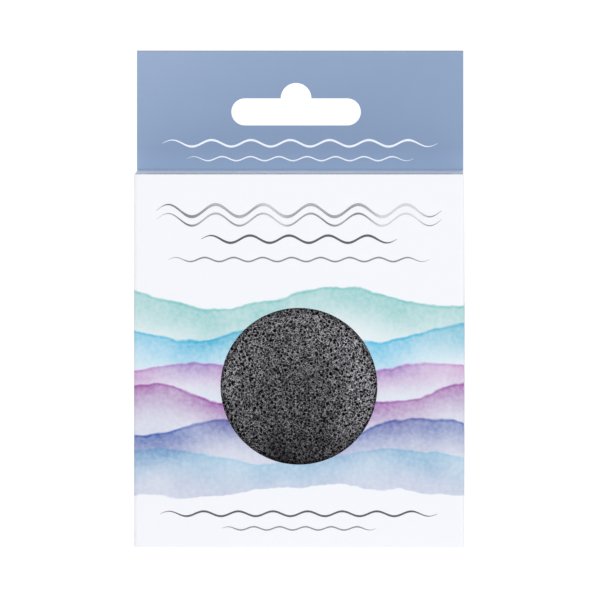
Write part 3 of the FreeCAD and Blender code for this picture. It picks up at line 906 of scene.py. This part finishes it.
def sponge_profile():
    """A function from the distance along the sponge's outline to radius, depth and outward direction.

    With it come the distances at which the flat back starts and ends.
    """
    rim = sponge_high.y - BACK_ROUND
    dome = rim - sponge_low.y
    centre = SPONGE_RADIUS - SHOULDER
    rise = dome - SHOULDER
    sink = (centre**2 - rise**2) / (2 * rise)
    crown = dome + sink
    meet = math.atan2(centre, sink)
    flat = SPONGE_RADIUS - BACK_ROUND
    lengths = (crown * meet, SHOULDER * (math.pi / 2 - meet), BACK_ROUND * math.pi / 2, flat)

    def at(s):
        for part, length in enumerate(lengths):
            if s <= length or part == 3:
                break
            s -= length
        if part == 3:
            return flat - s, sponge_high.y, 0.0, 1.0
        radius, start, across, along = (
            (crown, 0.0, 0.0, rim + sink),
            (SHOULDER, meet, centre, rim),
            (BACK_ROUND, math.pi / 2, flat, rim),
        )[part]
        turn = start + s / radius
        return (across + radius * math.sin(turn), along - radius * math.cos(turn),
                math.sin(turn), -math.cos(turn))

    return at, sum(lengths[:3]), sum(lengths)


def sponge_rings():
    """Points, outward directions and spacings in rings round the sponge, and the triangles between."""
    at, back, whole = sponge_profile()
    distance, rings = WINDOW_SPACING, [(0.0, 1, WINDOW_SPACING)]
    while distance < whole - BACK_SPACING:
        step = min(SIDE_SPACING, WINDOW_SPACING + max(0.0, distance - WINDOW_REACH) * SIDE_GROWTH)
        step = min(BACK_SPACING, step + max(0.0, distance - back) * BACK_GROWTH)
        rings.append((distance, max(LEAST_STEPS, round(2 * math.pi * at(distance)[0] / step)), step))
        distance += step * math.sqrt(3) / 2
    rings.append((whole, 1, BACK_SPACING))
    points, outward, steps, faces = [], [], [], []
    first_before, count_before, shift_before = 0, 0, 0.0
    for i, (s, count, step) in enumerate(rings):
        radius, depth, across, along = at(s)
        shift = 0.5 * (i % 2)
        first = len(steps)
        turns = (np.arange(count) + shift) * 2 * math.pi / count
        spokes = np.stack([np.cos(turns), np.zeros(count), np.sin(turns)], 1)
        points.append(spokes * radius + np.array([0, depth, SPONGE_HEIGHT]))
        outward.append(spokes * across + np.array([0, along, 0]))
        steps += [step] * count
        if i:
            faces += between_rings(first_before, count_before, shift_before, first, count, shift)
        first_before, count_before, shift_before = first, count, shift
    return np.concatenate(points), np.concatenate(outward), np.array(steps), faces


def between_rings(inner, inner_count, inner_shift, outer, outer_count, outer_shift):
    """Triangles that close the band between two rings of points, walking round both at once."""
    faces, i, j = [], 0, 0
    while i < inner_count or j < outer_count:
        inner_next = (i + 1 + inner_shift) / inner_count
        outer_next = (j + 1 + outer_shift) / outer_count
        a, b = inner + i % inner_count, outer + j % outer_count
        if j >= outer_count or (i < inner_count and inner_next <= outer_next):
            c = inner + (i + 1) % inner_count
            i += 1
        else:
            c = outer + (j + 1) % outer_count
            j += 1
        if len({a, b, c}) == 3:
            faces.append((a, b, c))
    return faces


def smooth(x):
    """An S-shaped step from 0 to 1."""
    x = np.clip(x, 0, 1)
    return x * x * (3 - 2 * x)


def sponge():
    """The konjac sponge: fine cells all over, with larger round pores scattered among them."""
    points, outward, steps, faces = sponge_rings()
    chance = np.random.default_rng(SPONGE_SEED)
    noise.seed_set(SPONGE_SEED)  # without it, noise_vector starts from the clock
    cells = np.empty(len(points))
    sag = np.empty(len(points))
    for i, p in enumerate(points):
        spot = Vector(p / CELL_SIZE)
        near = noise.voronoi(spot + CELL_WANDER * noise.noise_vector(spot))[0]
        cells[i] = near[1] - near[0]
        sag[i] = noise.noise(Vector(p / SAG_SIZE))
    cell = smooth(cells / CELL_WALL) * smooth((SIDE_SPACING - steps) / (SIDE_SPACING - WINDOW_SPACING))
    pore = np.zeros(len(points))
    lip = np.zeros(len(points))
    depth = np.zeros(len(points))
    tree = kdtree.KDTree(len(points))
    for i, p in enumerate(points):
        tree.insert(p, i)
    tree.balance()
    area = steps**2
    number = int(area.sum() / MM**2 * PORES_PER_MM2)
    for centre in chance.choice(len(points), number, replace=False, p=area / area.sum()):
        radius = PORE_RADII[0] + (PORE_RADII[1] - PORE_RADII[0]) * chance.random() ** PORE_SKEW
        deep = radius * (PORE_DEPTHS[0] + (PORE_DEPTHS[1] - PORE_DEPTHS[0]) * chance.random())
        near = tree.find_range(points[centre], LIP * radius)
        if radius < PORE_LEAST * steps[centre] or any(pore[i] > 0 for _, i, _ in near):
            # Too small for the points there, so left to the material, or too close to another pore
            continue
        for _, i, gap in near:
            pit = float(smooth((1 - gap / radius) / PORE_WALL))
            pore[i] = max(pore[i], pit)
            depth[i] = max(depth[i], pit * deep)
            lip[i] = max(lip[i], 1 - pit - max(0.0, gap / radius - 1) / (LIP - 1))
    inward = depth + CELL_DEPTH * cell * (1 - pore) + SPONGE_SAG * (0.5 + 0.5 * sag)
    placed = points - outward * inward[:, None]
    mesh = bpy.data.meshes.new("konjac_sponge_foam")
    mesh.from_pydata(placed.tolist(), [], faces)
    mesh.materials.append(konjac_foam())
    mesh.polygons.foreach_set("use_smooth", [True] * len(faces))
    # Painted shade: pits and cell floors darken with depth, while pore lips stay pale
    painted_pit_shade = np.maximum(smooth(pore / PORE_SHADE), CELL_SHADE * cell * (1 - lip)).astype(np.float32)
    mesh.attributes.new("painted_pit_shade", "FLOAT", "POINT").data.foreach_set("value", painted_pit_shade)
    piece = new_object("konjac_sponge_foam", mesh)
    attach(piece, "sponge")
    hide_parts("konjac_sponge")


# Camera: straight at the front, from a little above, as far off as a long lens stands
CAMERA_DISTANCE = 5.2
CAMERA_RISE = math.radians(1.61)
CAMERA_TURN = math.radians(0.48)
FRAME_WIDTH = 147.2 * MM  # seen across the picture at the front wall
AIM = Vector((0.26 * MM, FRONT, 60.67 * MM))
SENSOR = 36.0
CAMERA_REACH = 1000.0


def camera():
    """A long lens, at the photograph's viewing angle."""
    level = Vector((math.sin(CAMERA_TURN), -math.cos(CAMERA_TURN), 0))
    back = level * math.cos(CAMERA_RISE) + UP * math.sin(CAMERA_RISE)
    data = bpy.data.cameras.new("camera")
    data.sensor_width = SENSOR
    data.lens = SENSOR * CAMERA_DISTANCE / FRAME_WIDTH
    data.clip_end = CAMERA_REACH
    made = new_object("camera", data)
    made.location = AIM + back * CAMERA_DISTANCE
    made.rotation_mode = "QUATERNION"
    made.rotation_quaternion = (-back).to_track_quat("-Z", "Y")
    bpy.context.scene.camera = made


# Studio: a lit white floor, white walls under a dimmer ceiling, and large soft lamps.
# Each lamp: name, strength, angle across in degrees, direction from the pack.
FLOOR_HALF = 150.0  # its far edge stands at the horizon
FLOOR_GLOW = 0.83
WALLS, CEILING = 1.1, 0.34
WALL_TOP = 0.25  # sine of the angle at which the walls have faded into the ceiling
LAMPS = (
    ("key", 1.9, 75.0, Vector((0.4, -0.66, 0.63))),
    ("left_fill", 0.75, 80.0, Vector((-0.9, -0.33, 0.3))),
    ("rear_fill", 0.9, 90.0, Vector((-0.5, 0.75, 0.43))),
)


def studio():
    """The floor, the lamps and the white surround."""
    mesh = bpy.data.meshes.new("floor")
    span = (-FLOOR_HALF, FLOOR_HALF)
    mesh.from_pydata([(x, y, 0.0) for x, y in rectangle(span, span)], [], [(0, 1, 2, 3)])
    mesh.materials.append(studio_floor())
    floor = new_object("floor", mesh)

    for name, strength, size, toward in LAMPS:
        data = bpy.data.lights.new(name, "SUN")
        data.energy = strength
        data.angle = math.radians(size)
        lamp = new_object(name, data)
        lamp.rotation_mode = "QUATERNION"
        lamp.rotation_quaternion = (-toward).to_track_quat("-Z", "Y")

    world = bpy.data.worlds.new("surround")
    world.use_nodes = True
    tree = world.node_tree
    tree.nodes.clear()
    where = add(tree, "ShaderNodeTexCoord").outputs["Generated"]
    rise = add(tree, "ShaderNodeSeparateXYZ", {"Vector": where}).outputs["Z"]
    strength = add(tree, "ShaderNodeMapRange",
                   {"Value": rise, "From Max": WALL_TOP, "To Min": WALLS, "To Max": CEILING}).outputs[0]
    glow = add(tree, "ShaderNodeBackground", {"Color": linear("#FFFFFF"), "Strength": strength})
    add(tree, "ShaderNodeOutputWorld", {"Surface": glow.outputs[0]})
    bpy.context.scene.world = world
    bpy.context.scene.view_settings.view_transform = "Standard"


def glue_films():
    """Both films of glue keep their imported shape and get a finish."""
    glue = dried_adhesive()
    for film in ("seam_glue", "hang_tab_glue"):
        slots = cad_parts[film].data.materials
        slots.clear()
        slots.append(glue)


PRINT, INSIDE, EDGE = coated_boxboard(), board_back(), board_edge()
camera()
upright_panels()
dust_flaps()
lids()
printed_lines()
sponge()
glue_films()
studio()
